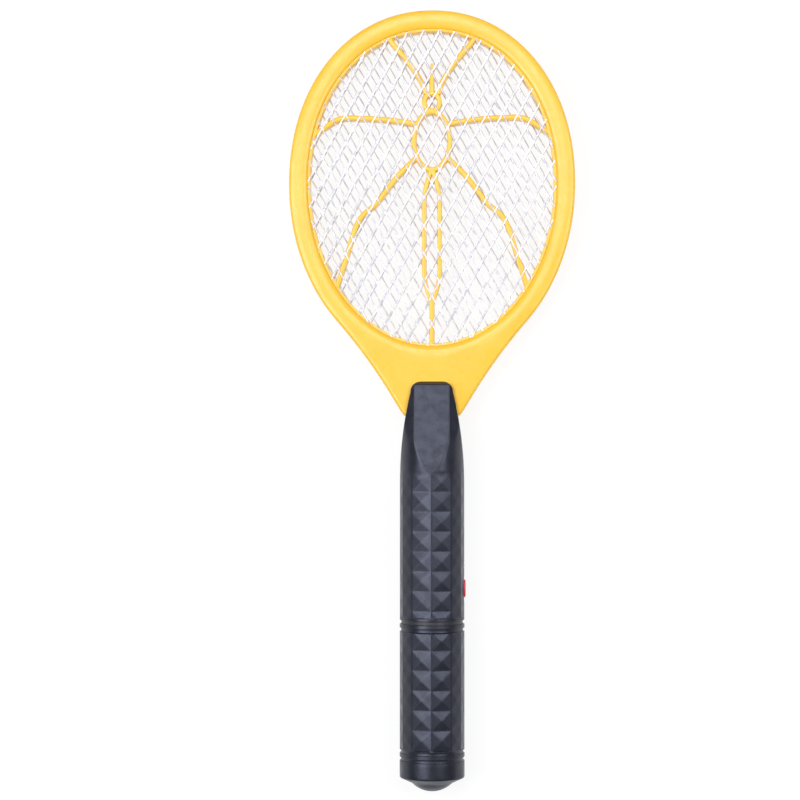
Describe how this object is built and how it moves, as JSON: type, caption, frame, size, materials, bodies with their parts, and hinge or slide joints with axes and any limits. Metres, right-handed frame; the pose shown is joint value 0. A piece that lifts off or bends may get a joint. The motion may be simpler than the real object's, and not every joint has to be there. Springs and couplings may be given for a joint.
{
  "type": "electric fly swatter",
  "caption": "Racket-shaped electric insect swatter with an oval grid head, spider-shaped ribs and a battery handle with a side button.",
  "frame": {"origin": "bottom centre of the bounding box of the part lying flat with its front face up, on the surface under the handle", "axes": "+Y from the butt of the handle towards the head, +Z out of the front face, +X towards the side with the button"},
  "size_m": [0.1614, 0.44, 0.0366],
  "materials": {
    "yellow_plastic": "smooth moulded ABS, satin gloss",
    "grip_black": "moulded in low pyramids, semi-gloss",
    "cover_black": "moulded in low pyramids, semi-gloss",
    "carrier_black": "plain moulded",
    "grid_metal": "expanded sheet, bright",
    "screw_steel": "zinc plated",
    "contact_metal": "nickel plated spring steel",
    "button_red": "smooth moulded",
    "battery_jacket": "plain printed film",
    "board_green": "solder mask over glass epoxy",
    "component_black": "moulded epoxy",
    "ferrite": "sintered, dull",
    "bobbin_plastic": "plain moulded",
    "winding_copper": "enamelled wire",
    "capacitor_brown": "dipped epoxy",
    "resistor_tan": "lacquered",
    "plunger_white": "plain moulded",
    "lamp_red": "tinted clear epoxy",
    "wire_red": "PVC insulation",
    "wire_black": "PVC insulation"
  },
  "bodies": {
    "racket": {"front_frame": "yellow_plastic", "rear_frame": "yellow_plastic", "front_grid": "grid_metal", "centre_grid": "grid_metal", "rear_grid": "grid_metal", "frame_screws": "screw_steel", "front_shell": "grip_black", "rear_shell": "grip_black", "shell_screws": "screw_steel", "neck_screws": "screw_steel", "battery_carrier": "carrier_black", "battery_left": "battery_jacket", "battery_right": "battery_jacket", "spring_contact": "contact_metal", "flat_contact": "contact_metal", "bridge_contact": "contact_metal", "switch_body": "component_black", "circuit_board": "board_green", "board_screws": "screw_steel", "transformer_core": "ferrite", "transformer_bobbin": "bobbin_plastic", "transformer_winding": "winding_copper", "transistor": "component_black", "rectifier_diodes": "component_black", "doubler_capacitors": "capacitor_brown", "output_capacitor": "capacitor_brown", "resistors": "resistor_tan", "indicator_lamp": "lamp_red", "front_grid_lead": "wire_black", "centre_grid_lead": "wire_red", "rear_grid_lead": "wire_black", "positive_lead": "wire_red", "negative_lead": "wire_black"},
    "button": {"push_button": "button_red", "switch_plunger": "plunger_white"},
    "cover": {"battery_cover": "cover_black"}
  },
  "joints": [
    {"name": "button_press", "type": "slide", "parent": "racket", "child": "button", "axis": [-1, 0, 0], "range_m": [0, 0.0012], "stiffness_N_per_m": 1000, "springref_m": -0.0005},
    {"name": "battery_cover_slide", "type": "slide", "parent": "racket", "child": "cover", "axis": [0, -1, 0], "range_m": [0, 0.09]}
  ]
}
